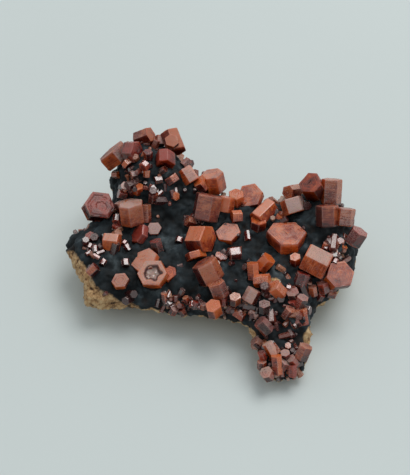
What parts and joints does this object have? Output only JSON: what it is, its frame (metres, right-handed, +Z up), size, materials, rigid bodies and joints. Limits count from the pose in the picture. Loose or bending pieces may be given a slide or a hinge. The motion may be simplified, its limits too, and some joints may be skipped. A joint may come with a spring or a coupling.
{
  "type": "vanadinite specimen in matrix",
  "caption": "Plate of dark matrix with a short spur, covered on its upper side with blocky six-sided vanadinite crystals; rests on its flat broken underside.",
  "frame": {"origin": "centre of the flat resting face under the plate", "axes": "+Z up, away from the resting face; +X to the specimen's right; -Y towards its front, where the spur is"},
  "size_m": [0.0885, 0.079, 0.0323],
  "materials": {
    "matrix": "dull dark manganese and iron oxide crust, ochre limonite on the broken left side",
    "vanadinite_orange": "orange-brown crystal with a greasy shine",
    "vanadinite_red": "deep red crystal with a greasy shine",
    "vanadinite_brown": "brownish crystal with a frosted, striated surface"
  },
  "bodies": {
    "root": {"crystal_back_left_block": "vanadinite_brown", "crystal_back_left_inner": "vanadinite_red", "crystal_back_left_inner_small": "vanadinite_red", "crystal_back_left_leaning": "vanadinite_red", "crystal_back_left_outer": "vanadinite_orange", "crystal_back_ridge_low": "vanadinite_orange", "crystal_front_edge": "vanadinite_orange", "crystal_front_left_tablet": "vanadinite_brown", "crystal_left_corner": "vanadinite_red", "crystal_left_low": "vanadinite_red", "crystal_left_stub": "vanadinite_orange", "crystal_left_tablet": "vanadinite_red", "crystal_right_back": "vanadinite_orange", "crystal_right_back_outer": "vanadinite_brown", "crystal_right_end": "vanadinite_red", "crystal_right_inner": "vanadinite_brown", "crystal_right_inner_back": "vanadinite_brown", "crystal_right_low": "vanadinite_red", "crystal_right_tablet": "vanadinite_orange", "crystal_spur_left": "vanadinite_red", "crystal_spur_left_upper": "vanadinite_red", "crystal_spur_right": "vanadinite_brown", "crystal_spur_shoulder": "vanadinite_brown", "crystals_back_left_rim": "vanadinite_brown", "crystals_back_left_top": "vanadinite_brown", "crystals_back_ridge": "vanadinite_orange", "crystals_centre_block": "vanadinite_brown", "crystals_centre_pair": "vanadinite_orange", "crystals_centre_prism": "vanadinite_orange", "crystals_centre_ridge": "vanadinite_orange", "crystals_centre_tablet": "vanadinite_orange", "crystals_front_centre": "vanadinite_brown", "crystals_front_middle": "vanadinite_orange", "crystals_hopper": "vanadinite_orange", "crystals_left_block": "vanadinite_brown", "crystals_left_pair": "vanadinite_red", "crystals_right_front": "vanadinite_orange", "crystals_right_pair": "vanadinite_brown", "crystals_spur_end": "vanadinite_red", "crystals_spur_root": "vanadinite_red", "crystals_spur_tip": "vanadinite_orange", "matrix": "matrix"}
  },
  "joints": []
}
